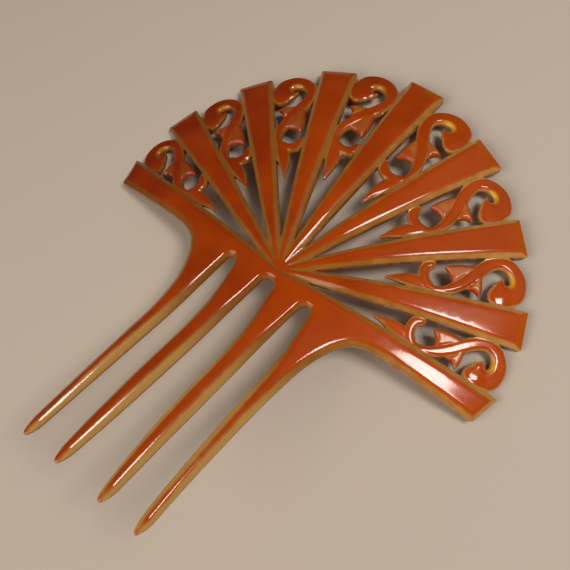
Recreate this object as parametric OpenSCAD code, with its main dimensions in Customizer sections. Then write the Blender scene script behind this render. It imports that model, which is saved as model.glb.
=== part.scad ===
// Mantilla comb cut from one sheet: crossbar with wings, seven blades, scroll panels and four teeth.
// The outline is drawn on a flat sheet (u to the right, v up the comb, w out of the face, hub at 0, 0)
// and place() bends every point of it round the head. Lengths in the tables are parts of fan_r.

/* [Sheet] */
// Radius of the fan, from the hub to the ends of the side blades (mm)
fan_r = 62; // [58:1:63]
// Thickness of the sheet (mm)
sheet_t = 3; // [2.6:0.1:3.4]
// Width of the bevel along blades, bar and teeth (mm)
bevel_w = 1.5; // [1.2:0.1:1.6]
// How far the bevel drops below the face (mm)
bevel_drop = 0.9; // [0.85:0.05:1.1]

/* [Bend] */
// Radius of the bend round the head (mm)
head_r = 176; // [140:2:240]
// Radius of the slight forward bow of fan and teeth (mm)
bow_r = 282; // [240:2:500]
// Radius of the reverse bend where the fan leaves the teeth (mm)
flare_r = 92; // [84:2:150]

/* [Fan] */
// Half-width of a blade at the hub (mm)
blade_root = 1.1; // [1:0.1:1.3]
// Half-width of a blade at the fan radius (mm)
blade_end = 5.1; // [5:0.1:5.4]

/* [Teeth] */
// Length of a tooth below the hub (mm)
tooth_len = 69.5; // [62:0.5:74]

/* [Hidden] */
DEG = 180 / PI;
PITCH = 22.5;
SCROLL_BEVEL = 0.9;
SCROLL_DROP = 1.65;
END_FACET = 2;
END_DROP = 0.55;
CORNER_EASE = 0.55;
OVERLAP = 0.25;
BEND_ROW = 6;
FLARE_TOP = 5;
FLARE_LOW = 31;

// Ends of the blades, counted outwards from the middle one
BLADE_REACH = [1.086, 1.043, 1.018, 1.016];
// Height of the blades' faces at the hub, from left to right
ROOT_TOP = [-0.7, -0.38, -0.58, -0.3, -0.64, -0.45, -0.78];
// Size of the scrolls, counted outwards from the middle blade
SCROLL_SIZE = [1.08, 1.036, 1.025, 1.01];
// Wing: u, upper edge v, lower edge v
WING = [
    [0, 0.012, -0.025], [0.1, 0.02, -0.031], [0.2, 0.029, -0.026], [0.28, 0.036, -0.03],
    [0.3, 0.038, -0.07], [0.37, 0.044, -0.078], [0.447, 0.051, -0.0672], [0.475, 0.053, -0.058],
    [0.5, 0.055, -0.052], [0.55, 0.059, -0.046], [0.6, 0.063, -0.042], [0.7, 0.07, -0.038],
    [0.8, 0.078, -0.035], [0.9, 0.085, -0.032], [0.965, 0.09, -0.03]];
// Shoulder and outer tooth, outer edge: v, u
SHOULDER = [
    [0, 0.546], [-0.067, 0.45], [-0.088, 0.42], [-0.13, 0.386], [-0.187, 0.358], [-0.25, 0.339],
    [-0.3, 0.329], [-0.4, 0.318], [-0.5, 0.312], [-0.7, 0.307], [-0.9, 0.304], [-1.05, 0.304]];
// Middle slot and side slot below their round roots: v, half-width
MIDDLE_SLOT = [[-0.08, 0.034], [-0.15, 0.042], [-0.3, 0.054], [-0.5, 0.058], [-0.7, 0.062],
    [-0.9, 0.072], [-1.05, 0.085]];
SIDE_SLOT = [[-0.08, 0.027], [-0.15, 0.035], [-0.3, 0.045], [-0.5, 0.048], [-0.7, 0.051],
    [-0.9, 0.056], [-1.05, 0.062]];
// Line down the middle of the side slot: v, u
SIDE_LINE = [[-0.05, 0.195], [-0.3, 0.192], [-0.5, 0.192], [-0.9, 0.194], [-1.05, 0.196]];
MIDDLE_ROOT = -0.048;
SIDE_ROOT = -0.056;
// Scroll strokes in a panel, x away from the comb's middle, y outwards: x, y, half-width
CURL = [
    [0.064, 0.906, 0.036], [0.05, 0.937, 0.041], [0.014, 0.955, 0.035], [-0.018, 0.953, 0.033],
    [-0.047, 0.94, 0.03], [-0.069, 0.916, 0.028], [-0.078, 0.88, 0.026], [-0.063, 0.836, 0.027],
    [-0.028, 0.789, 0.028], [0.01, 0.745, 0.026], [0.038, 0.7, 0.023], [0.054, 0.655, 0.018],
    [0.053, 0.612, 0.017], [0.028, 0.585, 0.022], [-0.006, 0.576, 0.022], [-0.037, 0.585, 0.022],
    [-0.047, 0.606, 0.018]];
TAIL = [[0.05, 0.879, 0.036], [0.018, 0.881, 0.024], [-0.001, 0.888, 0.012], [-0.015, 0.897, 0.003]];
LEAF_OUT = [[-0.035, 0.797, 0.012], [0.008, 0.791, 0.018], [0.035, 0.783, 0.025], [0.057, 0.772, 0.029]];
LEAF_IN = [[-0.038, 0.79, 0.014], [-0.033, 0.74, 0.024], [-0.022, 0.705, 0.033], [-0.009, 0.675, 0.038]];
LEAF_LONG = [[0.046, 0.606, 0.022], [0.024, 0.537, 0.03], [0.015, 0.49, 0.021], [0.012, 0.455, 0.011],
    [0.012, 0.424, 0.004]];
BALL = [0.066, 0.887];
BALL_R = 0.057;

// Downward turn of the sheet at height v, in degrees
function turn(v) =
    v > FLARE_TOP ? DEG * ((v - FLARE_TOP) / bow_r - FLARE_TOP / flare_r)
    : v > -FLARE_LOW ? -DEG * v / flare_r
    : DEG * ((v + FLARE_LOW) / bow_r + FLARE_LOW / flare_r);

// Side view of the sheet on the comb's middle line: distance up the comb and height of the face
function spine(v) =
    v > FLARE_TOP ? spine(FLARE_TOP) + bow_r * (arc(turn(v)) - arc(turn(FLARE_TOP)))
    : v >= -FLARE_LOW ? flare_r * (arc(0) - arc(turn(v)))
    : spine(-FLARE_LOW) + bow_r * (arc(turn(v)) - arc(turn(-FLARE_LOW)));
function arc(a) = [sin(a), cos(a)];

// A point of the flat sheet on the bent comb; the sheet bends about its middle
function place(u, v, w) =
    let (a = DEG * u / head_r, r = head_r + w + sheet_t / 2, drop = r * cos(a) - head_r, s = spine(v), t = turn(v))
    [r * sin(a), s.x + drop * sin(t), s.y + drop * cos(t)];

// Cut through a strip: middle point, unit normal, half-widths to the left and right, inset of the face
// on each side, height of the face, heights of the two edges under the bevel, and of the back, which is
// one height or a height for each side
function cut(c, n, hl, hr, il, ir, top, el, er, back) =
    let (bl = is_list(back) ? back[0] : back, br = is_list(back) ? back[1] : back)
    [for (q = [[-hl, bl], [hr, br], [hr, er], [hr - ir, top], [il - hl, top], [-hl, el]])
        place(c.x + n.x * q.x, c.y + n.y * q.x, q.y)];

// Solid through a row of cuts
module strip(cuts) {
    k = len(cuts[0]);
    m = len(cuts);
    polyhedron(
        points = [for (c = cuts) each c],
        faces = concat(
            [[for (j = [k - 1:-1:0]) j]],
            [for (i = [0:m - 2], j = [0:k - 1])
                let (a = i * k + j, b = i * k + (j + 1) % k)
                each [[a, b, b + k], [a, b + k, a + k]]],
            [[for (j = [0:k - 1]) (m - 1) * k + j]]));
}

// Value of a two-column table between its rows; the first column runs downwards
function read(table, v, i = 0) =
    i == len(table) - 2 || v >= table[i + 1].x
        ? table[i].y + (table[i + 1].y - table[i].y) * max(0, (table[i].x - v) / (table[i].x - table[i + 1].x))
        : read(table, v, i + 1);

// Smooth run of points with widths through the rows of a stroke, n steps a row
function bend_row(a, b, c, d, t) =
    0.5 * (2 * b + (c - a) * t + (2 * a - 5 * b + 4 * c - d) * t * t + (3 * b - a - 3 * c + d) * t * t * t);
function run(rows, n) =
    let (m = len(rows) - 1)
    [for (i = [0:m - 1], s = [0:n - 1])
        bend_row(rows[max(i - 1, 0)], rows[i], rows[i + 1], rows[min(i + 2, m)], s / n), rows[m]];

function flat(p) = [p.x, p.y];
function unit(p) = p / norm(p);

// A scroll stroke laid on the sheet: size and turn of its panel, steps a row, how far it lies under the face
function stroke(rows, size, angle, n, sunk) =
    let (p = [for (q = run(rows, n)) size * fan_r * q], m = len(p) - 1)
    [for (i = [0:m])
        let (
            d = unit(flat(p[min(i + 1, m)] - p[max(i - 1, 0)])),
            right = [d.y, -d.x],
            h = max(p[i].z, 0.2),
            inset = min(SCROLL_BEVEL, 0.7 * h))
        cut(panel(p[i], angle), panel(right, angle), h, h, inset, inset,
            -sunk, -SCROLL_DROP, -SCROLL_DROP, sunk / 3 - sheet_t)];
function panel(p, angle) = [p.x * cos(angle) + p.y * sin(angle), p.y * cos(angle) - p.x * sin(angle)];

// The ball that a curl ends in, with a low dome
module ball(size, angle) {
    c = size * fan_r * BALL;
    r = size * fan_r * BALL_R;
    rings = [[r, 0.2 - sheet_t], [r, -SCROLL_DROP], [r - SCROLL_BEVEL, -0.94], [r / 2, -0.75]];
    hull() strip([for (g = rings) [for (j = [15:-1:0])
        let (q = panel(c + g.x * [sin(j * PITCH), cos(j * PITCH)], angle)) place(q.x, q.y, g.y)]]);
}

function curl(i) = stroke(CURL, SCROLL_SIZE[i], PITCH * (i + 0.5), 2, 0.88);
module scroll(i) {
    angle = PITCH * (i + 0.5);
    size = SCROLL_SIZE[i];
    strip(curl(i));
    strip(stroke(TAIL, size, angle, 1, 0.98));
    strip(stroke(LEAF_OUT, size, angle, 1, 1.02));
    strip(stroke(LEAF_IN, size, angle, 1, 1.08));
    strip(stroke(LEAF_LONG, size, angle, 1, 0.95));
    ball(size, angle);
}

// A blade: the face sinks towards the hub and falls away in a short facet at the outer end. On the two
// blades next to the wings the back corner that faces the wing is eased, as it would rub on the head
function blade(i) =
    let (
        d = [sin(PITCH * i), cos(PITCH * i)],
        reach = BLADE_REACH[abs(i)] * fan_r,
        low = ROOT_TOP[i + 3],
        stops = [[-0.5, low, -low], [0.16 * fan_r, low, -low / 2], [0.3 * fan_r, 0, 0], [0.48 * fan_r, 0, 0],
            [0.65 * fan_r, 0, 0], [0.82 * fan_r, 0, 0], [reach - END_FACET, 0, 0], [reach, -END_DROP, 0]])
    [for (s = stops)
        let (
            h = blade_root + (blade_end - blade_root) * s.x / fan_r,
            inset = min(bevel_w, 0.7 * h),
            eased = s.x == reach ? CORNER_EASE : 0)
        cut(s.x * d, [d.y, -d.x], h, h, inset, inset, s.y, -bevel_drop, -bevel_drop,
            [for (side = [-1, 1]) s.z - sheet_t + (side * i == 3 ? eased : 0)])];

// The bar with its two wings. The face is inset square to the shoulder's curve; over the teeth, which
// cover the lower edge, it runs almost to that edge
module bar() {
    m = len(WING) - 1;
    inset = [for (i = [0:m]) let (a = WING[max(i - 1, BEND_ROW)], b = WING[min(i + 1, m)])
        i < BEND_ROW ? OVERLAP : bevel_w * norm([1, (b.z - a.z) / (b.x - a.x)])];
    strip(concat(
        [end_cut(-1)],
        [for (side = [-1, 1], k = [0:m])
            let (i = side < 0 ? m - k : k)
            if (side > 0 || i > 0)
                cut([side * WING[i].x * fan_r, 0], [0, -1], WING[i].y * fan_r, -WING[i].z * fan_r,
                    bevel_w, inset[i], 0, -bevel_drop, -bevel_drop, -sheet_t)],
        [end_cut(1)]));
}
function end_cut(side) = [for (q = [[1.005, 0.09, -sheet_t], [0.972, -0.025, -sheet_t],
        [0.972, -0.025, -bevel_drop], [0.978, -0.006, -END_DROP], [1, 0.07, -END_DROP],
        [1.005, 0.09, -bevel_drop]])
    place(side * q.x * fan_r, q.y * fan_r, q.z)];

// Half-width of a slot with a round root; grow widens it to the edge of the face
function slot(table, root, v, grow) =
    let (r = table[0].y + grow, c = root - table[0].y)
    v > root + grow ? 0 : v > c ? sqrt(max(0, r * r - (v - c) * (v - c))) : read(table, v) + grow;

// How far two neighbouring teeth run into each other above the root of their slot
function lap(v, root) = v < root ? 0 : OVERLAP / fan_r + 4 * (v - root) * (v - root);

// Height of the bevel at the middle of a slot's root
function rim(root, v) =
    -bevel_drop * min(1, max(0, ((root + bevel_w / fan_r) - v) * fan_r / bevel_w));

TOOTH_ROWS = [0, -0.03, -0.042, -0.048, -0.053, -0.058, -0.066, -0.08, -0.1, -0.13, -0.187, -0.25, -0.3,
    -0.4, -0.5, -0.7, -0.9, -1.05];
// Tip of a tooth: v, part of the width, part of the thickness
TIP = [[-1.075, 0.86, 0.84], [-1.098, 0.64, 0.68], [-1.112, 0.4, 0.5], [-1.12, 0.16, 0.3]];

// One tooth between its inner and outer edge; the tip is tapered to a blunt point. The four teeth
// are numbered so that no two of them have a face, a back or a row near the root at the same place
function tooth(inner, number) =
    let (sunk = 0.08 + 0.07 * number, g = bevel_w / fan_r, top = -sunk, body = [for (row = TOOTH_ROWS)
        let (
            v = row > -0.09 ? row - 0.0013 * number : row,
            middle = slot(MIDDLE_SLOT, MIDDLE_ROOT, v, 0),
            side = slot(SIDE_SLOT, SIDE_ROOT, v, 0),
            line = read(SIDE_LINE, v),
            a = inner ? middle - lap(v, MIDDLE_ROOT) : line + side - lap(v, SIDE_ROOT),
            b = inner ? line - side + lap(v, SIDE_ROOT) : read(SHOULDER, v),
            at = inner ? slot(MIDDLE_SLOT, MIDDLE_ROOT, v, g) : line + slot(SIDE_SLOT, SIDE_ROOT, v, g),
            slope = (read(SHOULDER, v + 0.02) - read(SHOULDER, v - 0.02)) / 0.04,
            bt = inner ? line - slot(SIDE_SLOT, SIDE_ROOT, v, g) : b - g * sqrt(1 + slope * slope),
            ea = inner ? rim(MIDDLE_ROOT, v) : rim(SIDE_ROOT, v),
            eb = inner ? rim(SIDE_ROOT, v) : -bevel_drop)
        [v, a, b, at, bt, ea, eb]],
        low = last(body),
        mid = (low[1] + low[2]) / 2 * fan_r,
        half = (low[2] - low[1]) / 2 * fan_r)
    concat(
        [for (r = body)
            let (thin = max(0, -0.7 - r[0]), most = 0.35 * (r[2] - r[1]) * fan_r)
            cut([0, tooth_v(r[0])], [-1, 0], r[2] * fan_r, -r[1] * fan_r,
                min(most, (r[2] - r[4]) * fan_r), min(most, (r[3] - r[1]) * fan_r),
                top - 0.9 * thin, min(r[6], top - 0.02 - 0.9 * thin), min(r[5], top - 0.02 - 0.9 * thin),
                sunk + 0.12 + 0.9 * thin - sheet_t)],
        [for (s = TIP)
            let (h = half * s.y, middle = -sheet_t / 2, up = (sheet_t / 2 - 0.3) * s.z)
            cut([mid, tooth_v(s.x)], [-1, 0], h, h, 0.6 * h, 0.6 * h,
                middle + up, middle + 0.1 * up, middle + 0.1 * up, middle - up)]);
function tooth_v(v) =
    v > -0.3 ? v * fan_r : -0.3 * fan_r + (v + 0.3) * (tooth_len - 0.3 * fan_r) / (1.12 - 0.3);

// The comb is laid down as it rests by itself: on the back corners of the wing ends, and on the back
// corners that face up the comb at the ends of the blades next to the wings
function last(list) = list[len(list) - 1];
foot_wing = end_cut(1)[0];
foot_blade = last(blade(3))[0];
rest_tilt = atan2(foot_blade.z - foot_wing.z, foot_blade.y - foot_wing.y);
function laid(p) =
    [p.x, p.y * cos(rest_tilt) + p.z * sin(rest_tilt), p.z * cos(rest_tilt) - p.y * sin(rest_tilt)];
top_y = max([for (c = blade(0), p = c) laid(p).y]);
tip_y = min([for (inner = [true, false], c = tooth(inner, 0), p = c) laid(p).y]);

module comb() {
    color("chocolate")
        translate([0, -(top_y + tip_y) / 2, -laid(foot_wing).z])
            rotate([-rest_tilt, 0, 0])
                union() {
                    bar();
                    for (i = [-3:3]) strip(blade(i));
                    for (m = [0, 1]) mirror([m, 0, 0]) {
                        for (i = [0:3]) scroll(i);
                        strip(tooth(true, m));
                        strip(tooth(false, m + 2));
                    }
                }
}

comb();
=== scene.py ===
# %% [markdown]
# A mantilla comb of two-layer celluloid
#
# A mantilla comb stands in gathered hair and holds a lace veil. This one is cut from a single sheet of
# plastic: a crossbar with two wings, a fan of seven blades with scrolls between them, and four long teeth.
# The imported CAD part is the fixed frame, and everything below stays on it.

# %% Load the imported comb
import math

import bpy
import numpy as np
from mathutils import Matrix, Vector


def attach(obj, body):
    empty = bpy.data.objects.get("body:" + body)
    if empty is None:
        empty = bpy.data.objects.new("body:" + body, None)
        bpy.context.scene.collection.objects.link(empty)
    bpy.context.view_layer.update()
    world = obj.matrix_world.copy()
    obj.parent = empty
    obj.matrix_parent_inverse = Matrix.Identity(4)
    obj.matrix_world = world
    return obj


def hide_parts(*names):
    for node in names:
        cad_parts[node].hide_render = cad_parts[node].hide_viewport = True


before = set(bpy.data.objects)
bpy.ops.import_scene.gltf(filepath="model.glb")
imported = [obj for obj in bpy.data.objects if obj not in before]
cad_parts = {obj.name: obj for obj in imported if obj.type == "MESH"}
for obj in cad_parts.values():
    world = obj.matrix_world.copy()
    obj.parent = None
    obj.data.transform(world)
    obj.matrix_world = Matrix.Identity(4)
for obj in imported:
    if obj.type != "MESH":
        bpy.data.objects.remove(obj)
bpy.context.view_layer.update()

# %% [markdown]
# The sheet
#
# The maker saws and carves the comb flat, warms the sheet and bends it round a former. The same order works
# here: the comb is drawn flat (u to the right, v up the comb, w out of the face, in millimetres, with the
# hub of the fan at 0, 0) and `bend` then bends every point. A lattice or a Curve modifier could bend it too,
# but a formula keeps it exactly on the CAD solid.

# %% Sizes of the sheet and its bends, in millimetres
MM = 0.001
FAN_R = 62  # hub to rim of the fan; the tables further down are in parts of it
SHEET = 3
HEAD_R = 176  # from side to side, round the head
BOW_R = 282  # slight bow along the fan and along the teeth
FLARE_R = 92  # short bend the other way between them
FLARE_TOP = 5
FLARE_LOW = -31


def turn(v):
    """How far the sheet leans back at height v."""
    upper = (v - FLARE_TOP) / BOW_R - FLARE_TOP / FLARE_R
    lower = (v - FLARE_LOW) / BOW_R - FLARE_LOW / FLARE_R
    return np.where(v > FLARE_TOP, upper, np.where(v > FLARE_LOW, -v / FLARE_R, lower))


def arc(angle):
    """A point of the unit circle."""
    return np.stack([np.sin(angle), np.cos(angle)])


def spine(v):
    """Side view of the sheet's middle line: distance up the comb, and height."""
    start = np.where(v > FLARE_TOP, FLARE_TOP, FLARE_LOW)
    inner = FLARE_R * (arc(0 * v) - arc(turn(np.clip(v, FLARE_LOW, FLARE_TOP))))
    outer = BOW_R * (arc(turn(v)) - arc(turn(start)))
    return inner + np.where((v > FLARE_TOP) | (v < FLARE_LOW), outer, 0)


def bend_sheet(u, v, w):
    """A point of the flat sheet on the bent one."""
    angle, lean = u / HEAD_R, turn(v)
    radius = HEAD_R + w + SHEET / 2
    drop = radius * np.cos(angle) - HEAD_R
    y, z = spine(v)
    return np.stack([radius * np.sin(angle), y + drop * np.sin(lean), z + drop * np.cos(lean)], axis=-1)


print("the fan leans back by", round(math.degrees(float(turn(FAN_R))), 1), "degrees at its rim")

# %% [markdown]
# Laid face up, the comb rests on the back corners of its wing ends and on the back corners that face up the
# comb at the ends of the two outermost blades. A line through one wing corner and one blade corner gives the
# tilt; the hub's place is the CAD part's own.

# %% Lay the sheet down
PITCH = math.radians(22.5)  # from one blade to the next
BLADE_HUB, BLADE_RIM = 1.1, 5.1  # half the width of a blade at the hub and at the rim
REACH = [1.086, 1.043, 1.018, 1.016]  # length of the blades from the middle one outwards
WING_CORNER = (1.005, 0.09)
WING_FOOT = (0.972, -0.027)
HUB_Y = -0.3355  # the hub's place up the comb in the CAD part's frame


def blade_half_width(along):
    return BLADE_HUB + (BLADE_RIM - BLADE_HUB) * along / FAN_R


def flat_array(*point):
    """One point as three arrays, for the functions that bend whole grids."""
    return [np.array(float(c)) for c in point]


outermost = 3 * PITCH
rim = REACH[3] * FAN_R
half = blade_half_width(rim)
wing_foot = bend_sheet(*flat_array(WING_CORNER[0] * FAN_R, WING_CORNER[1] * FAN_R, -SHEET))
blade_foot = bend_sheet(*flat_array(
    rim * math.sin(outermost) - half * math.cos(outermost),
    rim * math.cos(outermost) + half * math.sin(outermost), -SHEET))
REST = math.atan2(blade_foot[2] - wing_foot[2], blade_foot[1] - wing_foot[1])


def lay(points):
    """Tilt bent points to the resting pose and set the feet on the floor."""
    c, s = math.cos(REST), math.sin(REST)
    foot = wing_foot[2] * c - wing_foot[1] * s
    x, y, z = points[..., 0], points[..., 1], points[..., 2]
    return np.stack([x, y * c + z * s + HUB_Y, z * c - y * s - foot], axis=-1)


def bend(u, v, w):
    """Flat millimetres to the frame's metres."""
    return lay(bend_sheet(u, v, w)) * MM


print("rest tilt", round(math.degrees(REST), 3), "degrees; hub at", bend(*flat_array(0, 0, 0)).round(5))

# %% [markdown]
# Relief on a fine grid
#
# The real comb is one carved surface: bevels, rounded scrolls and ridged teeth run into each other. Separate
# meshes would show hard seams, and a boolean leaves long thin triangles. So each carved piece adds its own
# height to one fine grid over half of the sheet, the highest piece wins with a small soft blend, and the
# outline is cut where the depth inside all pieces reaches zero. The comb is the same left and right, so the
# half is mirrored at the end.

# %% Grid lines: fine over the fan and the tips, long steps along the straight teeth
STEP = 0.29
WING_END = 63.3
FAN_LOW, FAN_HIGH = -20.3, 68.4
TIP_LOW, TIP_HIGH = -71.0, -64.0
LONG_STEPS = 45
NOWHERE = -9.0  # depth and height where no piece lies
cols = np.arange(0, WING_END, STEP)
fan_rows = np.arange(FAN_LOW, FAN_HIGH, STEP)
tip_rows = np.arange(TIP_LOW, TIP_HIGH, STEP)
tooth_rows = np.linspace(tip_rows[-1], fan_rows[0], LONG_STEPS + 1)[1:-1]
rows = np.concatenate([tip_rows, tooth_rows, fan_rows])
U, V = np.meshgrid(cols, rows)
shape = U.shape
depth_all = np.full(shape, NOWHERE)
face = np.full(shape, NOWHERE)
back = np.zeros(shape)
carved = np.zeros(shape)
painted_glow = np.zeros(shape)
leafy = np.zeros(shape)
print("grid of", shape[0], "rows and", shape[1], "columns")


# %% [markdown]
# `soft_max` is the rounding tool of the whole relief: it joins two heights with a small fillet, and turned
# round it breaks an edge the way polishing on a buff does. `add_piece` joins one carved piece to the grid
# and keeps three numbers for the material: how deep the surface is cut, where a golden glow is painted, and
# where it is a leaf.

# %% Soft joins, bevels and pieces
BLEND = 0.14  # width of the join between two surfaces
FILLET = 0.4  # rounding of the corner between two outlines
SKIRT = 1.4  # a surface goes on this far past its outline, so that the join has something to join
BACK_RISE, BACK_RUN = 0.35, 0.7  # past its outline a piece's back rises by this much over this run


def soft_max(a, b, width):
    share = np.clip(0.5 + 0.5 * (b - a) / width, 0, 1)
    return a + (b - a) * share + width * share * (1 - share)


def soft_step(x, low, high):
    t = np.clip((x - low) / (high - low), 0, 1)
    return t * t * (3 - 2 * t)


def bevel(depth, width, drop, polish):
    """Height below the face at a depth inside the outline, with its upper edge rounded by polish."""
    return -soft_max(0, drop * (1 - depth / width), polish)


def add_piece(where, depth, height, level, under, gain=1.0, leaf=0.0, glow=0.0):
    """Add one carved piece: depth inside it, its surface, its own face level, and its back.

    A higher gain lets its bevel leave the skin sooner, and a negative one keeps the skin on its edges.
    """
    near = depth > -SKIRT
    old, new = face[where], np.where(near, height, NOWHERE)
    share = np.clip(0.5 + 0.5 * (new - old) / BLEND, 0, 1)
    carved[where] = carved[where] * (1 - share) + (level - height) * gain * share
    leafy[where] = leafy[where] * (1 - share) + leaf * share
    painted_glow[where] = painted_glow[where] * (1 - share) + glow * share
    face[where] = np.where(near, soft_max(old, new, BLEND), old)
    depth_all[where] = soft_max(depth_all[where], depth, FILLET)
    past_edge = np.clip(-depth / BACK_RUN, 0, 1)
    back[where] = np.where(near, np.minimum(back[where], under + BACK_RISE * past_edge), back[where])


# %% [markdown]
# Outline tools
#
# A stroke of the scrollwork is a row of points with a half-width at each. `smooth_run` rounds the row, and
# two measures give the depth inside: `chain_depth` for long curls, `edge_depth` for any closed outline.

# %% Runs and depths
def smooth_run(points, steps):
    """A smooth curve through all the points, with this many steps between two of them."""
    points = np.array(points, float)
    padded = np.concatenate([points[:1], points, points[-1:]])
    run = []
    for k in range(len(points) - 1):
        a, b, c, d = padded[k:k + 4]
        for t in np.arange(steps) / steps:
            run.append(0.5 * (2 * b + (c - a) * t + (2 * a - 5 * b + 4 * c - d) * t * t
                              + (3 * b - a - 3 * c + d) * t ** 3))
    return np.array(run + [points[-1]])


def chain_depth(x, y, run):
    """Depth inside a row of circles and the tapered strips between them."""
    best = np.full(x.shape, -99.0)
    for (ax, ay, ar), (bx, by, br) in zip(run[:-1], run[1:]):
        dx, dy = bx - ax, by - ay
        t = np.clip(((x - ax) * dx + (y - ay) * dy) / (dx * dx + dy * dy), 0, 1)
        best = np.maximum(best, ar + (br - ar) * t - np.hypot(x - ax - dx * t, y - ay - dy * t))
    return best


def edge_depth(x, y, outline, mirror_edge=None):
    """Depth inside a closed outline; mirror_edge is the side that lies on the comb's middle line."""
    near = np.full(x.shape, 1e9)
    inside = np.zeros(x.shape, bool)
    for k in range(len(outline)):
        (ax, ay), (bx, by) = outline[k - 1], outline[k]
        dx, dy = bx - ax, by - ay
        if k != mirror_edge and dx * dx + dy * dy > 1e-12:
            t = np.clip(((x - ax) * dx + (y - ay) * dy) / (dx * dx + dy * dy), 0, 1)
            near = np.minimum(near, (x - ax - dx * t) ** 2 + (y - ay - dy * t) ** 2)
        if ay != by:
            inside ^= ((ay > y) != (by > y)) & (x < ax + (y - ay) * dx / dy)
    return np.where(inside, 1, -1) * np.sqrt(near)


# %% [markdown]
# Crossbar, wings and teeth
#
# One outline goes round the right half: along the top of the bar, round the wing and the shoulder, and down
# and up the teeth past the round slot roots. A Bezier curve drawn by hand could do it too. Short tables are
# chosen here, in parts of the fan's radius as a draughtsman would scale them, because the CAD part has the
# same ones.

# %% Tables of the bar and the teeth
BAR_TOP = [(0, 0.012), (0.1, 0.02), (0.2, 0.029), (0.3, 0.038), (0.45, 0.051), (0.6, 0.063), (0.8, 0.078),
           (0.965, 0.09)]
SHOULDER = [(0.965, -0.03), (0.9, -0.032), (0.8, -0.035), (0.7, -0.038), (0.6, -0.042), (0.55, -0.046),
            (0.5, -0.052), (0.475, -0.058), (0.45, -0.067), (0.42, -0.088), (0.386, -0.13), (0.358, -0.187),
            (0.339, -0.25), (0.329, -0.3), (0.318, -0.4), (0.312, -0.5), (0.307, -0.7), (0.304, -0.9),
            (0.304, -1.05)]
# Down the teeth: height, then half the width of a slot or the line along its middle
MIDDLE_SLOT = [(-0.082, 0.034), (-0.15, 0.042), (-0.3, 0.054), (-0.5, 0.058), (-0.7, 0.062), (-0.9, 0.072),
               (-1.05, 0.085)]
SIDE_SLOT = [(-0.083, 0.027), (-0.15, 0.035), (-0.3, 0.045), (-0.5, 0.048), (-0.7, 0.051), (-0.9, 0.056),
             (-1.05, 0.062)]
SIDE_LINE = [(-0.05, 0.195), (-0.3, 0.192), (-0.5, 0.192), (-0.9, 0.194), (-1.05, 0.196)]
# Round a tip: height, then the part of the tooth's half-width that is left
TIP = [(-1.066, 0.92), (-1.08, 0.81), (-1.095, 0.66), (-1.108, 0.46), (-1.116, 0.26), (-1.119, 0.1)]


def read(table, v):
    """Smooth value of a downward table at v."""
    run = smooth_run(table, 6)
    return np.interp(-v, -run[:, 0], run[:, 1])


def slot_root(slot):
    """A quarter of the round root of a slot, from its top to its side."""
    v, radius = slot[0]
    angles = np.radians(np.arange(0, 91, 7.5))
    return [(radius * math.sin(a), v + radius * math.cos(a)) for a in angles]


def tip(left, right):
    """Rounded end of a tooth between its two edges, from left to right."""
    middle, reach = (left + right) / 2, (right - left) / 2
    left_side = [(middle - reach * part, v) for v, part in TIP]
    return left_side + [(2 * middle - u, v) for u, v in reversed(left_side)]


print("the tables reach", round(-TIP[-1][0] * FAN_R, 1), "mm down from the hub")

# %% Right half of the body's outline
STRAIGHT_TOP, STRAIGHT_LOW = -0.1, -1.05  # the teeth between the slot roots and the tips
down = np.linspace(STRAIGHT_TOP, STRAIGHT_LOW, 60)
root_line = SIDE_LINE[0][1]
line_low, side_low, middle_low = SIDE_LINE[-1][1], SIDE_SLOT[-1][1], MIDDLE_SLOT[-1][1]
outline = [(u, v) for u, v in smooth_run(BAR_TOP, 3)]
outline += [WING_CORNER, WING_FOOT]
outline += [(u, v) for u, v in smooth_run(SHOULDER, 5)]
outline += list(reversed(tip(line_low + side_low, SHOULDER[-1][0])))
outline += [(float(read(SIDE_LINE, v) + read(SIDE_SLOT, v)), v) for v in reversed(down)]
outline += [(root_line + u, v) for u, v in reversed(slot_root(SIDE_SLOT))]
outline += [(root_line - u, v) for u, v in slot_root(SIDE_SLOT)]
outline += [(float(read(SIDE_LINE, v) - read(SIDE_SLOT, v)), v) for v in down]
outline += list(reversed(tip(middle_low, line_low - side_low)))
outline += [(float(read(MIDDLE_SLOT, v)), v) for v in reversed(down)]
outline += [(u, v) for u, v in reversed(slot_root(MIDDLE_SLOT))]
body_outline = np.array(outline) * FAN_R
print("the body's outline has", len(body_outline), "points")

# %% [markdown]
# The bar and the teeth keep a flat polished face with a bevel on each side. The arris between face and bevel
# is rounder on the teeth, so that they slide between the hairs, and towards the tip a tooth gets thinner.
# Round the roots of the slots the bevel is narrow and stays mostly in the orange skin, which is kept there
# further as painted shade for the shadow in the slot roots. A Bevel modifier has one width for a whole mesh;
# on the grid the width can follow the place.

# %% Carve the body
BEVEL, BEVEL_DROP = 1.5, 0.9  # width and fall of the bevels on the bar, the teeth and the blades
TIP_NARROWER, ROOT_NARROWER = 0.5, 0.55  # less width at the tips and round the slot roots
TOOTH_STEEPER = 0.45  # more fall on the teeth
EDGE_LEAST = 0.25  # least fall, where the tips are thin
POLISH, TOOTH_ROUNDER, ROOT_SHARPER = 0.45, 0.3, 0.1  # rounding of the arris
# Round the slot roots a lower gain keeps the darker orange skin on the bevel, as painted shade.
CUT_GAIN, TOOTH_GAIN, ROOT_PAINTED_SHADE_GAIN = 1.4, 0.9, 0.8  # how fast a bevel leaves the skin
TAPER = [0.7, 1.05, 1.08, 1.1, 1.119]  # where the teeth get thinner, below the hub
everywhere = np.s_[:, :]
body_depth = edge_depth(U, V, body_outline, mirror_edge=0)
below = -V / FAN_R
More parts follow.
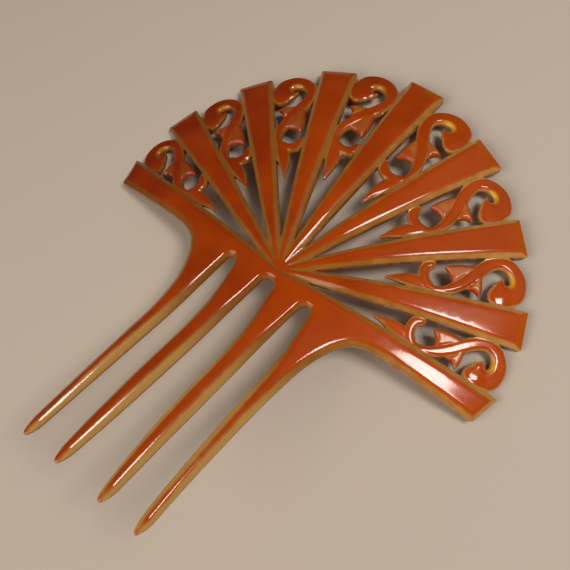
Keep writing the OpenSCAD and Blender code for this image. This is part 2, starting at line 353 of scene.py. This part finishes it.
# Both are 1 in their own place and fade to 0 away from it: round the slot roots, and down the teeth
root = soft_step(below, 0, 0.03) * (1 - soft_step(below, 0.12, 0.3)) * (1 - soft_step(U, 15.5, 18))
on_tooth = soft_step(below, 0.1, 0.3)
thin = np.interp(below, TAPER, [0, 0.32, 0.5, 0.75, 1.12])
bevel_width = BEVEL - TIP_NARROWER * soft_step(below, 0.75, 1.08) - ROOT_NARROWER * root
edge_drop = np.maximum(BEVEL_DROP + TOOTH_STEEPER * on_tooth - 1.1 * thin, EDGE_LEAST)
polish = POLISH + TOOTH_ROUNDER * on_tooth - ROOT_SHARPER * root
body_height = -thin + bevel(body_depth, bevel_width, edge_drop, np.minimum(polish, edge_drop))
body_back = -SHEET + np.interp(below, [0.02, 0.1] + TAPER, [0, 0.2, 0.25, 0.6, 0.75, 0.95, 1.1])
body_gain = CUT_GAIN - (CUT_GAIN - TOOTH_GAIN) * on_tooth - (CUT_GAIN - ROOT_PAINTED_SHADE_GAIN) * root
add_piece(everywhere, body_depth, body_height, -thin, body_back, gain=body_gain)
print("body covers", int((body_depth > 0).sum()), "grid points")

# %% [markdown]
# Blades
#
# Seven wedges spread from the hub. Each has a flat face, a broad bevel on both sides, and a short facet at
# its outer end. The face sinks a little where the blades crowd together at the hub. Seven bevelled wedge
# meshes would cross each other there; on the grid the highest surface wins and the valleys come by
# themselves.

# %% Carve the blades
HUB_NEAR, HUB_FAR = 8, 20  # the blades crowd up to here, and stand free from there
HUB_SINK, HUB_STEEPER, HUB_SHARPER = 0.5, 0.45, 0.25
BEVEL_PART, HUB_PART = 0.55, 0.9  # the most of a half-width that its bevel may take
FACET_LONG, FACET_FALL = 2, 0.55  # the facet at a blade's outer end
BEHIND_HUB, LONGEST = 0.5, 70  # a blade starts this far behind the hub, and widens no further than this
END_PAINTED_GLOW = 0.12  # a golden tint painted as glow where a little light gathers in the thin ends
for number in range(-3, 4):
    a = number * PITCH
    along = U * math.sin(a) + V * math.cos(a)
    across = U * math.cos(a) - V * math.sin(a)
    reach = REACH[abs(number)] * FAN_R
    half_width = blade_half_width(np.clip(along, 0, LONGEST))
    side = half_width - np.abs(across)
    inside = np.minimum(side, np.minimum(reach - along, along + BEHIND_HUB))
    hub = 1 - soft_step(along, HUB_NEAR, HUB_FAR)
    level = -HUB_SINK * hub
    width = np.minimum(BEVEL, (BEVEL_PART + (HUB_PART - BEVEL_PART) * hub) * half_width)
    drop = BEVEL_DROP + HUB_STEEPER * hub + level
    slope = level + bevel(side, width, drop, 0.4 - HUB_SHARPER * hub)
    facet = level - FACET_FALL * np.clip(1 - (reach - along) / FACET_LONG, 0, 2)
    # A golden glow is painted on the last two millimetres of each blade.
    end = END_PAINTED_GLOW * soft_step(along - reach, -2.3, -1.6)
    add_piece(everywhere, inside, -soft_max(-slope, -facet, 0.1), facet, -SHEET, gain=CUT_GAIN, glow=end)
print("seven blades carved, the middle one", round(REACH[0] * FAN_R, 1), "mm long")

# %% [markdown]
# Scrollwork
#
# Each of the eight panels holds one long curl that ends in a hooked ball, with a pointed tail inside the
# hook, two leaves and a long pointed leaf. Curve objects with a bevel could draw the curls, but not the
# hollowed ends of the leaves. So each stroke is a table too, and all panels repeat the same five in slightly
# different sizes. They lie lower than the blades, so the blades' bevels stay whole.

# %% Tables of the strokes in one panel: across, along and half-width
CURL = [(0.064, 0.906, 0.036), (0.05, 0.937, 0.041), (0.014, 0.955, 0.035), (-0.018, 0.953, 0.033),
        (-0.047, 0.94, 0.03), (-0.069, 0.916, 0.028), (-0.078, 0.88, 0.026), (-0.063, 0.836, 0.027),
        (-0.028, 0.789, 0.028), (0.01, 0.745, 0.026), (0.038, 0.7, 0.023), (0.054, 0.655, 0.018),
        (0.053, 0.612, 0.017), (0.028, 0.585, 0.022), (-0.006, 0.576, 0.022), (-0.037, 0.585, 0.022),
        (-0.047, 0.606, 0.018)]
TAIL = [(0.05, 0.879, 0.036), (0.018, 0.881, 0.024), (-0.001, 0.888, 0.012), (-0.015, 0.897, 0.003)]
LEAF_OUT = [(-0.035, 0.797, 0.012), (0.008, 0.791, 0.018), (0.035, 0.783, 0.025), (0.057, 0.772, 0.029)]
LEAF_IN = [(-0.038, 0.79, 0.014), (-0.033, 0.74, 0.024), (-0.022, 0.705, 0.033), (-0.009, 0.675, 0.038)]
LEAF_LONG = [(0.046, 0.606, 0.022), (0.024, 0.537, 0.03), (0.015, 0.49, 0.021), (0.012, 0.455, 0.011),
             (0.012, 0.424, 0.004)]
LEAF_STALK = (-0.035, 0.795)
NOTCH = 0.008  # hollow in the end of a short leaf
BALL = (0.066, 0.887)
BALL_R = 0.057
EYE = (-0.006, 0.893)  # middle of the painted golden arc inside the hook
EYE_R = 0.037
SCROLL_SIZE = [1.08, 1.036, 1.025, 1.01]


def leaf_outline(run, notch):
    """Outline of a stroke with straight sides and a hollowed end."""
    ahead = np.gradient(run[:, :2], axis=0)
    ahead /= np.linalg.norm(ahead, axis=1)[:, None]
    right = np.stack([ahead[:, 1], -ahead[:, 0]], axis=1) * run[:, 2:]
    end = run[-1, :2] - ahead[-1] * notch
    return np.concatenate([run[:, :2] - right, [end], (run[:, :2] + right)[::-1]])


print("a panel's strokes have", sum(map(len, (CURL, TAIL, LEAF_OUT, LEAF_IN, LEAF_LONG))), "points by hand")

# %% Carve the scrolls
SCROLL_EDGE = 1.65  # every scroll's outer edge lies this far below the face
CURL_LEVEL, TAIL_LEVEL, LONG_LEVEL = -0.88, -0.98, -0.95
BALL_LEVEL, BALL_RISE = -1.05, 0.35  # the ball's rim, and the rise of its dome over BALL_RUN
BALL_RUN = (0.2, 3.6)
SHORT_LEAVES = [(LEAF_OUT, -0.98, 0.02), (LEAF_IN, -1.0, 0.03)]  # table, level, and where its tilt starts
LEAF_TILT, LONG_TILT = 0.4, 1.2
LEAF_GAIN = -0.4
PANEL_SIDE, PANEL_LOW, PANEL_HIGH = 0.16, 0.38, 1.04  # the part of the grid that one panel can touch


def add_scroll(box, depth, level, width, polish, rise=0.3, **looks):
    """Add one piece of scrollwork; its back lies higher than the blades' by rise."""
    height = level + bevel(depth, width, SCROLL_EDGE + level, polish)
    add_piece(box, depth, height, level, rise - SHEET, **looks)


for number in range(4):
    a, size = (number + 0.5) * PITCH, SCROLL_SIZE[number] * FAN_R
    X = (U * math.cos(a) - V * math.sin(a)) / size
    Y = (U * math.sin(a) + V * math.cos(a)) / size
    j, i = np.where((np.abs(X) < PANEL_SIDE) & (Y > PANEL_LOW) & (Y < PANEL_HIGH))
    box = (slice(j.min(), j.max() + 1), slice(i.min(), i.max() + 1))
    x, y = X[box], Y[box]
    from_eye = np.hypot(x - EYE[0], y - EYE[1])
    # A thin arc of painted glow on the inner edge of each hook.
    painted_crescent = (soft_step(-np.abs(from_eye - EYE_R), -0.012, -0.002) * soft_step(y, 0.9, 0.932)
                * soft_step(-np.abs(x + 0.012), -0.055, -0.02))
    curl = chain_depth(x, y, smooth_run(CURL, 5)) * size
    add_scroll(box, curl, CURL_LEVEL, width=0.7, polish=0.35, rise=0.28, glow=painted_crescent)
    ball = (BALL_R - np.hypot(x - BALL[0], y - BALL[1])) * size
    dome = BALL_LEVEL + BALL_RISE * soft_step(ball, *BALL_RUN)
    add_scroll(box, ball, dome, width=1.0, polish=0.3, rise=0.2)
    tail = edge_depth(x, y, leaf_outline(smooth_run(TAIL, 4), 0)) * size
    add_scroll(box, tail, TAIL_LEVEL, width=0.8, polish=0.3)
    along_leaf = np.hypot(x - LEAF_STALK[0], y - LEAF_STALK[1])
    for table, top, start in SHORT_LEAVES:
        leaf = edge_depth(x, y, leaf_outline(smooth_run(table, 4), NOTCH)) * size
        tilted = top - LEAF_TILT * np.clip(along_leaf - start, 0, 0.1)
        add_scroll(box, leaf, tilted, width=0.7, polish=0.25, gain=LEAF_GAIN, leaf=1)
    long_leaf = edge_depth(x, y, leaf_outline(smooth_run(LEAF_LONG, 4), 0)) * size
    tilted = LONG_LEVEL - LONG_TILT * np.clip(0.56 - y, 0, 0.15)
    add_scroll(box, long_leaf, tilted, width=0.9, polish=0.35)
print("four scroll panels carved on this half,", [round(part * FAN_R, 1) for part in SCROLL_SIZE], "mm")

# %% [markdown]
# The buff rounds every outer edge a little, on the face and on the back. On the grid that is a small fall of
# the surface in the last third of a millimetre before the outline.

# %% Break the outer edges
EDGE_RUN = 0.35
FACE_FALL, BACK_FALL = 0.08, 0.14
OPEN_BELOW, OPEN_LEVEL = -2.2, -1.6
rim_fall = (1 - np.clip(depth_all / EDGE_RUN, 0, 1)) ** 2
face -= FACE_FALL * rim_fall
back += BACK_FALL * rim_fall
# A cut cell also reads its corner outside, so the open air gets about the level of the scrolls' edges
face = np.where(face < OPEN_BELOW, OPEN_LEVEL, face)
print("the carved face lies between", round(float(face.min()), 2), "and", round(float(face.max()), 2), "mm")

# %% [markdown]
# Grid to mesh
#
# Points that lie almost on the outline move onto it, cells that the outline crosses are cut along it, and
# plain flat areas are joined into larger squares so that the triangles go where the carving is. The back
# uses the same outline points, and one ring of quads joins the two, which makes the shell closed. A Remesh
# modifier would close it as well, but it would blur the arrises.

# %% Move grid points onto the outline
SNAP = 0.32 * STEP
OUTSIDE = -0.1  # least depth that counts as outside, for the borders of the grid
gy, gx = np.gradient(depth_all, rows, cols)
steep = np.maximum(gx * gx + gy * gy, 0.25)
close = np.abs(depth_all) < SNAP
shift = np.where(close, depth_all / steep, 0)
moved_u = U - np.where(U > 0, shift * gx, 0)
moved_v = V - shift * gy
snapped = np.where(close, 0, depth_all)
for border in (np.s_[0, :], np.s_[-1, :], np.s_[:, -1]):
    snapped[border] = np.minimum(snapped[border], OUTSIDE)
points = [list(p) for p in zip(moved_u.ravel(), moved_v.ravel())]
looks = np.stack([face.ravel(), back.ravel(), carved.ravel(), painted_glow.ravel(), leafy.ravel()], axis=1).tolist()
snapped_at = snapped.ravel()
print(int(close.sum()), "points moved onto the outline")


# %% [markdown]
# A cell that the outline crosses keeps the corners that lie inside and gets new points where its sides are
# cut. New points are shared between neighbouring cells, so nothing comes apart.

# %% Cut the cells on the outline
cuts = {}


def cut_point(p, q):
    """The point where the side from p to q meets the outline."""
    key = (min(p, q), max(p, q))
    if key not in cuts:
        t = snapped_at[p] / (snapped_at[p] - snapped_at[q])
        cuts[key] = len(points)
        points.append([a + (b - a) * t for a, b in zip(points[p], points[q])])
        looks.append([a + (b - a) * t for a, b in zip(looks[p], looks[q])])
    return cuts[key]


corner = np.arange(snapped.size).reshape(shape)
ring = np.stack([corner[:-1, :-1], corner[:-1, 1:], corner[1:, 1:], corner[1:, :-1]], axis=-1)
inside_count = (snapped_at[ring] >= 0).sum(axis=-1)
strict = (snapped_at[ring] > 0).any(axis=-1)
whole = (inside_count == 4) & strict
crossed = (inside_count > 0) & (inside_count < 4) & strict
edge_cells = []
for cell in ring[crossed]:
    polygon = []
    for p, q in zip(cell, np.roll(cell, -1)):
        if snapped_at[p] >= 0:
            polygon.append(int(p))
        if snapped_at[p] * snapped_at[q] < 0:
            polygon.append(cut_point(int(p), int(q)))
    if len(polygon) > 2:
        edge_cells.append(polygon)
print(int(whole.sum()), "whole cells and", len(edge_cells), "cut cells")


# %% [markdown]
# Four by four cells become one when the surface over them is flat. Next to cells that stay small, the square
# keeps the points of its side and is filled as a fan round its middle point, so no gap opens.

# %% Join flat squares
SQUARE = 4  # cells along the side of a joined square
FACE_LIMIT, BACK_LIMIT = 0.022, 0.08  # how far a joined square may leave the face and the plain back


def joined_cells(height, limit):
    """Faces over the whole cells, with flat squares of them joined."""
    first = len(rows) - len(fan_rows)
    tall, broad = (len(fan_rows) - 1) // SQUARE, (len(cols) - 1) // SQUARE
    flat = np.zeros((tall + 2, broad + 2), bool)
    t = np.linspace(0, 1, SQUARE + 1)
    for bj in range(tall):
        for bi in range(broad):
            j, i = first + SQUARE * bj, SQUARE * bi
            cells = np.s_[j:j + SQUARE, i:i + SQUARE]
            corners = np.s_[j:j + SQUARE + 1, i:i + SQUARE + 1]
            if not whole[cells].all() or (snapped[corners] <= 0).any():
                continue
            patch = height[corners]
            level = (np.outer(1 - t, (1 - t) * patch[0, 0] + t * patch[0, -1])
                     + np.outer(t, (1 - t) * patch[-1, 0] + t * patch[-1, -1]))
            flat[bj + 1, bi + 1] = np.abs(patch - level).max() < limit
    flat[:, 0] = flat[:, 1]
    small = whole.copy()
    faces = []
    for bj, bi in np.argwhere(flat[1:-1, 1:-1]):
        j, i = first + SQUARE * bj, SQUARE * bi
        small[j:j + SQUARE, i:i + SQUARE] = False
        patch = corner[j:j + SQUARE + 1, i:i + SQUARE + 1]
        sides = [(patch[0], flat[bj, bi + 1]), (patch[:, -1], flat[bj + 1, bi + 2]),
                 (patch[-1, ::-1], flat[bj + 2, bi + 1]), (patch[::-1, 0], flat[bj + 1, bi])]
        loop = [int(p) for line, big in sides for p in (line[:1] if big else line[:SQUARE])]
        if len(loop) == 4:
            faces.append(loop)
        else:
            middle = int(patch[SQUARE // 2, SQUARE // 2])
            faces += [[middle, p, q] for p, q in zip(loop, loop[1:] + loop[:1])]
    return faces + ring[small].tolist()


top_faces = joined_cells(face, FACE_LIMIT) + edge_cells
back_faces = joined_cells(back, BACK_LIMIT) + edge_cells
print(len(top_faces), "faces on the front and", len(back_faces), "on the back of the half comb")


# %% [markdown]
# The half is mirrored, its middle points are shared, and the two skins are joined along every outline. The
# points that no face uses are left out at the end.

# %% Build the closed shell
LEFT_PAINTED_GLOW = 0.35  # less painted glow on the left half, where less light falls
THINNEST = 0.3


def mirrored(faces, twin):
    return faces + [[twin[p] for p in reversed(loop)] for loop in faces]


flat_points = np.array(points)
looks = np.array(looks)
count = len(flat_points)
on_middle = np.abs(flat_points[:, 0]) < 1e-9
twin = np.where(on_middle, np.arange(count), np.arange(count) + count)
top_faces, back_faces = mirrored(top_faces, twin), mirrored(back_faces, twin)
flat_points = np.concatenate([flat_points, flat_points * [-1, 1]])
looks = np.concatenate([looks, looks * [1, 1, 1, LEFT_PAINTED_GLOW, 1]])
total = 2 * count

open_sides = {}
for loop in top_faces:
    for p, q in zip(loop, loop[1:] + loop[:1]):
        if (q, p) in open_sides:
            del open_sides[(q, p)]
        else:
            open_sides[(p, q)] = True
walls = [[q, p, p + total, q + total] for p, q in open_sides]
shell = top_faces + walls + [[p + total for p in reversed(loop)] for loop in back_faces]
print(len(walls), "faces in the cut walls")

# %% Bend the shell and make the mesh
top_height, back_height, carved_at, painted_glow_at, leaf_at = looks.T
top_xyz = bend(flat_points[:, 0], flat_points[:, 1], top_height)
back_xyz = bend(flat_points[:, 0], flat_points[:, 1], np.minimum(back_height, top_height - THINNEST))
xyz = np.concatenate([top_xyz, back_xyz])
kept = np.unique(np.concatenate([np.array(loop) for loop in shell]))
new_index = np.full(len(xyz), -1)
new_index[kept] = np.arange(len(kept))
shell = [[int(new_index[p]) for p in loop] for loop in shell]

mesh = bpy.data.meshes.new("comb_sheet")
mesh.from_pydata(xyz[kept].tolist(), [], shell)
mesh.validate()
mesh.update()
comb = bpy.data.objects.new("comb_sheet", mesh)
bpy.context.collection.objects.link(comb)
print(len(kept), "points and", sum(len(loop) - 2 for loop in shell), "triangles")

# %% [markdown]
# The three numbers of each point, and whether it is on the back, travel as mesh attributes to the material.
# Smooth shading keeps the soft arrises soft, and only edges sharper than the angle below stay hard.

# %% Attributes and shading
SHARP = math.radians(48)
is_back = (kept >= total).astype(float)
own = np.where(kept >= total, kept - total, kept)
for name, values in (("carved", carved_at[own]), ("painted_glow", painted_glow_at[own] * (1 - is_back)),
                     ("leaf", leaf_at[own]), ("back", is_back)):
    layer = mesh.attributes.new(name, "FLOAT", "POINT")
    layer.data.foreach_set("value", values.astype(np.float32))
mesh.shade_smooth()
mesh.set_sharp_from_angle(angle=SHARP)
print("carved, lit, leaf and back stored on", len(own), "points")

# %% [markdown]
# Celluloid in two layers
#
# The sheet is celluloid, pressed from an orange-red skin on a clearer olive-tan base and polished on a buff.
# The skin gives a warm even face, every bevel cuts through it and shows the base, and the clear base glows
# where the light comes through a thin edge. Two materials on two sets of faces would part them with a hard
# line. One Principled shader is chosen instead: its base colour follows how deep the surface is carved and
# holds some painted light and shade, subsurface scattering and a painted golden tint give the glowing look,
# and a low roughness the polish.

# %% Colour and node helpers
def linear(code):
    """sRGB hex to linear RGBA."""
    channels = [int(code[k:k + 2], 16) / 255 for k in (1, 3, 5)]
    return [c / 12.92 if c <= 0.04045 else ((c + 0.055) / 1.055) ** 2.4 for c in channels] + [1]


def node(tree, kind, settings=None, values=None, links=None):
    """Add a node, set its properties and input values, and link sockets into it."""
    made = tree.nodes.new(kind)
    for key, value in (settings or {}).items():
        setattr(made, key, value)
    for key, value in (values or {}).items():
        made.inputs[key].default_value = value
    for key, socket in (links or {}).items():
        tree.links.new(socket, made.inputs[key])
    return made


# %% The shader and what it reads
celluloid = bpy.data.materials.new("celluloid_buffed")
celluloid.use_nodes = True
tree = celluloid.node_tree
tree.nodes.clear()
surface = node(tree, "ShaderNodeOutputMaterial")
shader = node(tree, "ShaderNodeBsdfPrincipled", values={
    "IOR": 1.5, "Subsurface Weight": 0.2, "Subsurface Radius": (1.0, 0.34, 0.1),
    "Subsurface Scale": 1.6 * MM, "Coat Weight": 0.15, "Coat Roughness": 0.06})
tree.links.new(shader.outputs["BSDF"], surface.inputs["Surface"])
coordinates = node(tree, "ShaderNodeTexCoord")
where = coordinates.outputs["Object"]
place = node(tree, "ShaderNodeSeparateXYZ", links={"Vector": where})
facing = node(tree, "ShaderNodeSeparateXYZ", links={"Vector": coordinates.outputs["Normal"]})
carved_in, painted_glow_in, leaf_in, back_in = [
    node(tree, "ShaderNodeAttribute", {"attribute_name": name}).outputs["Fac"]
    for name in ("carved", "painted_glow", "leaf", "back")]
print("shader with", len(tree.nodes), "nodes so far")

# %% [markdown]
# The orange skin was pressed unevenly: soft clouds about 14 mm across run through it. It is also painted
# darker towards the comb's left side, as painted shade where less light falls. A noise texture in object
# space draws the clouds, and a slope along X is added before both go through one colour ramp.

# %% The orange skin
CLOUD = 14.3 * MM
# Painted shade: the skin's colour gets darker towards the comb's left, where less light falls.
PAINTED_SHADE_LEFT = 4.0  # steps along the colour ramp per metre across the comb
clouds = node(tree, "ShaderNodeTexNoise", values={"Scale": 1 / CLOUD, "Detail": 2.0}, links={
    "Vector": where})
soft_clouds = node(tree, "ShaderNodeMath", {"operation": "MULTIPLY_ADD"}, {1: 0.5, 2: 0.25},
                   {0: clouds.outputs["Fac"]})
clouds_and_painted_shade = node(tree, "ShaderNodeMath", {"operation": "MULTIPLY_ADD"}, {1: PAINTED_SHADE_LEFT}, {
    0: place.outputs["X"], 2: soft_clouds.outputs[0]})
skin = node(tree, "ShaderNodeValToRGB", links={"Fac": clouds_and_painted_shade.outputs[0]})
print("clouds", round(CLOUD / MM, 1), "mm across in the skin")

# %% [markdown]
# The base shows on the bevels. It has faint streaks 3 mm across from rolling, is painted lighter towards the
# upper right of the fan as painted light from the side of the key softbox, and is painted palest in the thin
# teeth, for the light that comes through them. So it has one ramp for the fan and one for the teeth, and the
# height up the comb fades one into the other.

# %% The olive-tan base
STREAK = 3.03 * MM
# Painted light: the base gets lighter to the right and up the comb, towards the key softbox.
PAINTED_LIGHT_SLOPE = (4.0, 2.5, 0.0)  # steps along the colour ramps per metre to the right and up the comb
TEETH_FROM, TEETH_TO = -12 * MM, -34 * MM  # the fan's base fades into the teeth's between these heights
streaks = node(tree, "ShaderNodeTexNoise", values={"Scale": 1 / STREAK, "Detail": 2.0}, links={
    "Vector": where})
wobble = node(tree, "ShaderNodeMath", {"operation": "MULTIPLY_ADD"}, {1: 0.25, 2: 0.375},
              {0: streaks.outputs["Fac"]})
painted_light_shift = node(tree, "ShaderNodeVectorMath", {"operation": "DOT_PRODUCT"}, {1: PAINTED_LIGHT_SLOPE}, {0: where})
streaks_and_painted_light = node(tree, "ShaderNodeMath", {"operation": "ADD"}, links={
    0: painted_light_shift.outputs["Value"], 1: wobble.outputs[0]})
fan_base = node(tree, "ShaderNodeValToRGB", links={"Fac": streaks_and_painted_light.outputs[0]})
tooth_base = node(tree, "ShaderNodeValToRGB", links={"Fac": streaks_and_painted_light.outputs[0]})
in_teeth = node(tree, "ShaderNodeMapRange", {"interpolation_type": "SMOOTHSTEP"}, {
    "From Min": TEETH_FROM, "From Max": TEETH_TO}, {"Value": place.outputs["Y"]})
base = node(tree, "ShaderNodeMix", {"data_type": "RGBA"}, links={
    "Factor": in_teeth.outputs["Result"], 6: fan_base.outputs["Color"], 7: tooth_base.outputs["Color"]})
print("streaks", round(STREAK / MM, 1), "mm across in the base")

# %% Colours of the three ramps, from dark to light
for made, stops in (
        (skin, [(0.25, "#862600"), (0.5, "#AC4202"), (0.75, "#C05006")]),
        (fan_base, [(0.25, "#7E4A14"), (0.6, "#A46E2A"), (0.78, "#C89452")]),
        (tooth_base, [(0.3, "#C09650"), (0.7, "#CCA25C")])):
    elements = made.color_ramp.elements
    while len(elements) < len(stops):
        elements.new(0.5)
    for element, (position, code) in zip(elements, stops):
        element.position = position
        element.color = linear(code)
    print("ramp of", len(elements), "colours from", stops[0][1], "to", stops[-1][1])

# %% [markdown]
# The carving goes through the skin where it is cut about a quarter of a millimetre deep, and the same
# streaks make that line a little uneven. The skin is worn on top of the teeth, and on the two left teeth it
# reaches further down the left side. The leaves are scraped in the middle, so the base shows there and
# their edges keep the skin.

# %% Where the skin is cut through
SKIN_ENDS, BASE_STARTS = 0.62, 1.1  # of the cut and the streaks together
SKIN_KEPT, SKIN_WORN = -0.3, 0.12  # change of the cut on the left sides, and on top
SLOT_LEFT, SLOT_RIGHT = -12 * MM, 12 * MM  # the two outer slots, which part off the outer teeth
LEAF_SCRAPE = 0.34
cut = node(tree, "ShaderNodeMath", {"operation": "ADD"}, links={0: carved_in, 1: wobble.outputs[0]})
left_side = node(tree, "ShaderNodeMapRange", values={
    "From Min": -0.6, "From Max": 0.0, "To Min": SKIN_KEPT, "To Max": SKIN_WORN}, links={
    "Value": facing.outputs["X"]})
left_teeth = node(tree, "ShaderNodeMapRange", values={
    "From Min": SLOT_LEFT, "From Max": SLOT_RIGHT, "To Min": SKIN_KEPT, "To Max": SKIN_WORN}, links={
    "Value": place.outputs["X"]})
left_edge = node(tree, "ShaderNodeMath", {"operation": "MAXIMUM"}, links={
    0: left_side.outputs["Result"], 1: left_teeth.outputs["Result"]})
worn = node(tree, "ShaderNodeMath", {"operation": "MULTIPLY_ADD"}, links={
    0: in_teeth.outputs["Result"], 1: left_edge.outputs[0], 2: cut.outputs[0]})
leaf_cut = node(tree, "ShaderNodeMath", {"operation": "MULTIPLY_ADD"}, {1: LEAF_SCRAPE}, {
    0: leaf_in, 2: worn.outputs[0]})
through = node(tree, "ShaderNodeMapRange", {"interpolation_type": "SMOOTHSTEP"}, {
    "From Min": SKIN_ENDS, "From Max": BASE_STARTS}, {"Value": leaf_cut.outputs[0]})
face_colour = node(tree, "ShaderNodeMix", {"data_type": "RGBA"}, links={
    "Factor": through.outputs["Result"], 6: skin.outputs["Color"], 7: base.outputs[2]})
print("where the skin ends is worked out by", len(tree.nodes), "nodes so far")

# %% [markdown]
# Light gathers inside the hooks and in the blades' ends, which is painted as a golden tint there: real light
# through the sheet would need a clear volume, slow to render and noisy. The back is the base in its full
# depth, brown with the skin shining through, and the sawn walls fade into it.

# %% Painted glow and back
glow = node(tree, "ShaderNodeMix", {"data_type": "RGBA"}, {7: linear("#DDA61E")}, {
    "Factor": painted_glow_in, 6: face_colour.outputs[2]})
behind = node(tree, "ShaderNodeMix", {"data_type": "RGBA"}, {"Factor": 0.6, 6: linear("#6E4A1C")}, {
    7: skin.outputs["Color"]})
colour = node(tree, "ShaderNodeMix", {"data_type": "RGBA"}, links={
    "Factor": back_in, 6: glow.outputs[2], 7: behind.outputs[2]})
tree.links.new(colour.outputs[2], shader.inputs["Base Color"])
print("base colour done with", len(tree.nodes), "nodes")

# %% [markdown]
# The polish is not perfect. Scuffs from wear, about 0.4 mm apart and drawn coarser than real hairlines so
# that they show, break the roughness, and buffing by hand leaves a slow ripple 8 mm long, which is a small
# bump. The buff does not reach down to the leaves, so they stay less polished.

# %% The polish
SCUFF = 0.4167 * MM
RIPPLE, RIPPLE_HIGH = 8 * MM, 0.4 * MM
SMOOTH, SCUFFED, UNBUFFED = 0.1, 0.19, 0.18  # roughness, and what the leaves add to it
scuffs = node(tree, "ShaderNodeTexNoise", values={"Scale": 1 / SCUFF, "Detail": 2.0}, links={
    "Vector": where})
polish_in = node(tree, "ShaderNodeMapRange", values={
    "From Min": 0.35, "From Max": 0.75, "To Min": SMOOTH, "To Max": SCUFFED}, links={
    "Value": scuffs.outputs["Fac"]})
unbuffed = node(tree, "ShaderNodeMath", {"operation": "MULTIPLY_ADD"}, {1: UNBUFFED}, {
    0: leaf_in, 2: polish_in.outputs["Result"]})
tree.links.new(unbuffed.outputs[0], shader.inputs["Roughness"])
ripple = node(tree, "ShaderNodeTexNoise", values={"Scale": 1 / RIPPLE, "Detail": 1.0}, links={
    "Vector": where})
bump = node(tree, "ShaderNodeBump", values={"Strength": 0.25, "Distance": RIPPLE_HIGH}, links={
    "Height": ripple.outputs["Fac"]})
tree.links.new(bump.outputs["Normal"], shader.inputs["Normal"])
mesh.materials.append(celluloid)
print("ripple", round(RIPPLE / MM, 1), "mm long, scuffs", round(SCUFF / MM, 2), "mm apart")

# %% [markdown]
# The comb moves with the CAD part's only body, and the relief takes the place of its plain solid.

# %% Put the comb on its body
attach(comb, "root")
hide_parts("comb")
print("celluloid on", comb.name)

# %% [markdown]
# Floor, light and camera
#
# The comb lies on a plain pale floor under soft studio light. A softbox on the right and behind gives the
# sheen of the right wing, a larger and weaker one further back softens the edge of that sheen, and a fill
# comes from the front left. A sky texture could light it too, but softboxes give the narrow bright lines
# that polished plastic shows. The floor is uncoated matt paper, which scatters light evenly, so it shows
# soft shadows and no gleam. The camera looks steeply down from the right.

# %% Floor
floor_mesh = bpy.data.meshes.new("floor")
floor_mesh.from_pydata([(-1, -1, 0), (1, -1, 0), (1, 1, 0), (-1, 1, 0)], [], [(0, 1, 2, 3)])
floor = bpy.data.objects.new("floor", floor_mesh)
bpy.context.collection.objects.link(floor)
paper = bpy.data.materials.new("matt_paper")
paper.use_nodes = True
paper_shader = paper.node_tree.nodes["Principled BSDF"]
paper_shader.inputs["Base Color"].default_value = linear("#C9C1B4")
paper_shader.inputs["Roughness"].default_value = 0.9
floor_mesh.materials.append(paper)
print("floor of matt paper")


# %% Lights
AIM = (0, 0, 0.01)


def softbox(name, place, size, watts, code):
    """A square area light that looks at the comb."""
    lamp = bpy.data.lights.new(name, "AREA")
    lamp.shape = "SQUARE"
    lamp.size = size
    lamp.energy = watts
    lamp.color = linear(code)[:3]
    held = bpy.data.objects.new(name, lamp)
    held.location = place
    held.rotation_euler = (Vector(AIM) - Vector(place)).to_track_quat("-Z", "Y").to_euler()
    bpy.context.collection.objects.link(held)
    print(name, "of", size, "m and", watts, "W")


softbox("key_softbox", (0.279, 0.139, 0.542), size=0.17, watts=2.0, code="#FFF3EC")
softbox("sheen_softbox", (0.16, 0.36, 0.48), size=0.45, watts=0.13, code="#FFE2D0")
softbox("fill_softbox", (-0.2, -0.5, 0.55), size=0.6, watts=3.2, code="#FFF0E0")
world = bpy.data.worlds.new("studio")
world.use_nodes = True
world.node_tree.nodes["Background"].inputs["Color"].default_value = linear("#F4EDE2")
world.node_tree.nodes["Background"].inputs["Strength"].default_value = 0.06
bpy.context.scene.world = world
bpy.context.scene.view_settings.view_transform = "Standard"

# %% Camera
lens = bpy.data.cameras.new("camera")
lens.sensor_width = 36
lens.lens = 44.54
lens.clip_start = 0.01
camera = bpy.data.objects.new("camera", lens)
camera.location = (0.06255, -0.02264, 0.1797)
camera.rotation_euler = [math.radians(d) for d in (16.842, 11.707, 37.205)]
bpy.context.collection.objects.link(camera)
bpy.context.scene.camera = camera
print("camera with a lens of", round(lens.lens, 2), "mm")
